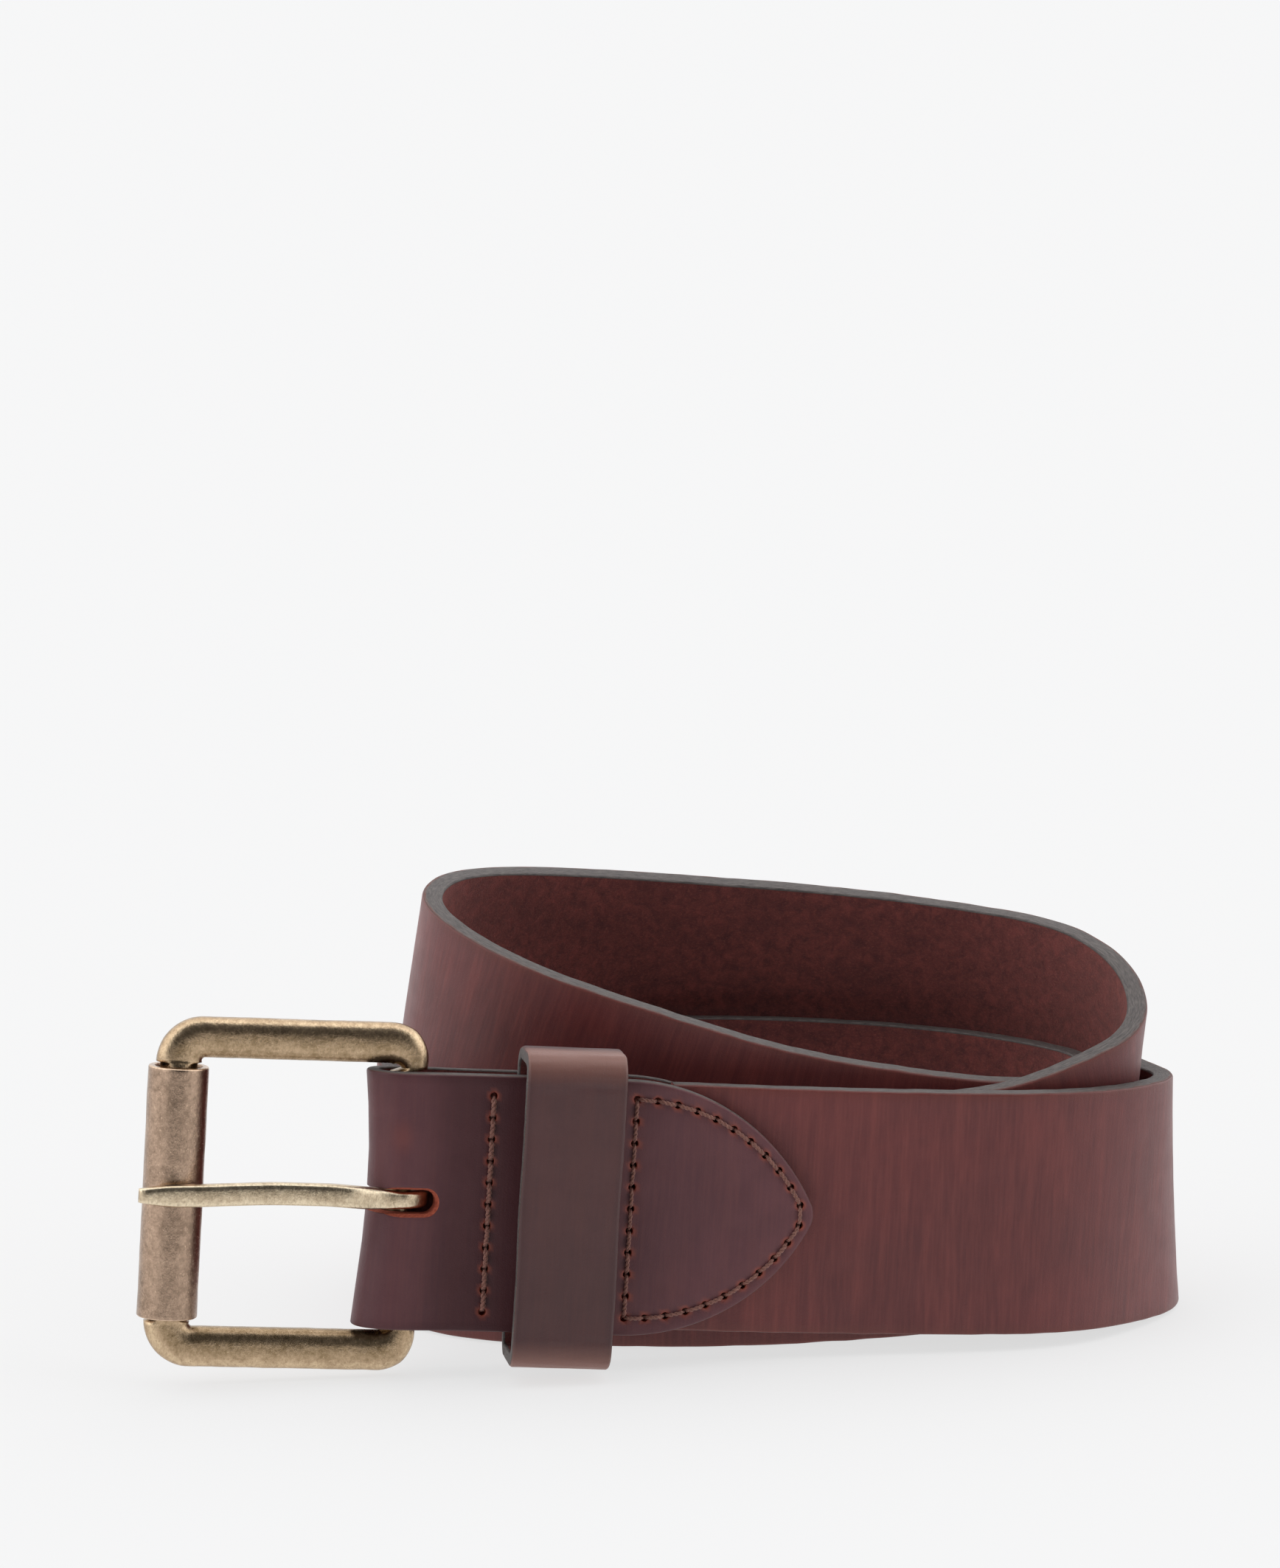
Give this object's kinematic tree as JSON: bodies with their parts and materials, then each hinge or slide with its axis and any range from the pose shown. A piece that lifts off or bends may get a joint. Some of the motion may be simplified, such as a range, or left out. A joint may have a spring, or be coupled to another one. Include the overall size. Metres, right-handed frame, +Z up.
{
  "type": "leather belt",
  "caption": "Wide leather belt with a roller buckle, sewn chape and keeper, rolled up and standing on its edge.",
  "frame": {"origin": "middle of the rolled belt's footprint, on the surface it stands on", "axes": "+X along the front run of the strap from the buckle, +Y from the grain side of the front run towards the back of the roll, +Z up, across the strap's width"},
  "size_m": [0.1766, 0.098, 0.0707],
  "materials": {
    "strap_leather": "satin reddish brown grain, dark dyed edges, matt flesh side",
    "chape_leather": "satin dark brown grain, dark dyed edges",
    "keeper_leather": "satin brown grain, creased at the bends",
    "thread": "twisted waxed thread, brown",
    "antique_brass": "antique brass, mottled dark patina, polished highlights",
    "steel": "bright staple wire"
  },
  "bodies": {
    "belt": {"strap": "strap_leather", "chape": "chape_leather", "row_thread_front": "thread", "row_thread_back": "thread", "panel_thread_front": "thread", "panel_thread_back": "thread"},
    "loop": {"keeper": "keeper_leather", "keeper_staple": "steel"},
    "frame": {"buckle_frame": "antique_brass"},
    "roller": {"roller": "antique_brass"},
    "prong": {"prong": "antique_brass"}
  },
  "joints": [
    {"name": "buckle_swing", "type": "hinge", "parent": "belt", "child": "frame", "pos_m": [-0.04626, -0.03519, 0.02866], "axis": [0.068, 0.0803, 0.9944], "range_deg": [-60, 20]},
    {"name": "prong_swing", "type": "hinge", "parent": "frame", "child": "prong", "pos_m": [-0.04626, -0.03519, 0.02866], "axis": [0.068, 0.0803, 0.9944], "range_deg": [0, 60]},
    {"name": "roller_spin", "type": "hinge", "parent": "frame", "child": "roller", "pos_m": [-0.08211, -0.03617, 0.03119], "axis": [0.068, 0.0803, 0.9944], "continuous": true},
    {"name": "keeper_slide", "type": "slide", "parent": "belt", "child": "loop", "axis": [0.9973, 0.0004, -0.0729], "range_m": [-0.0045, 0.001]}
  ]
}
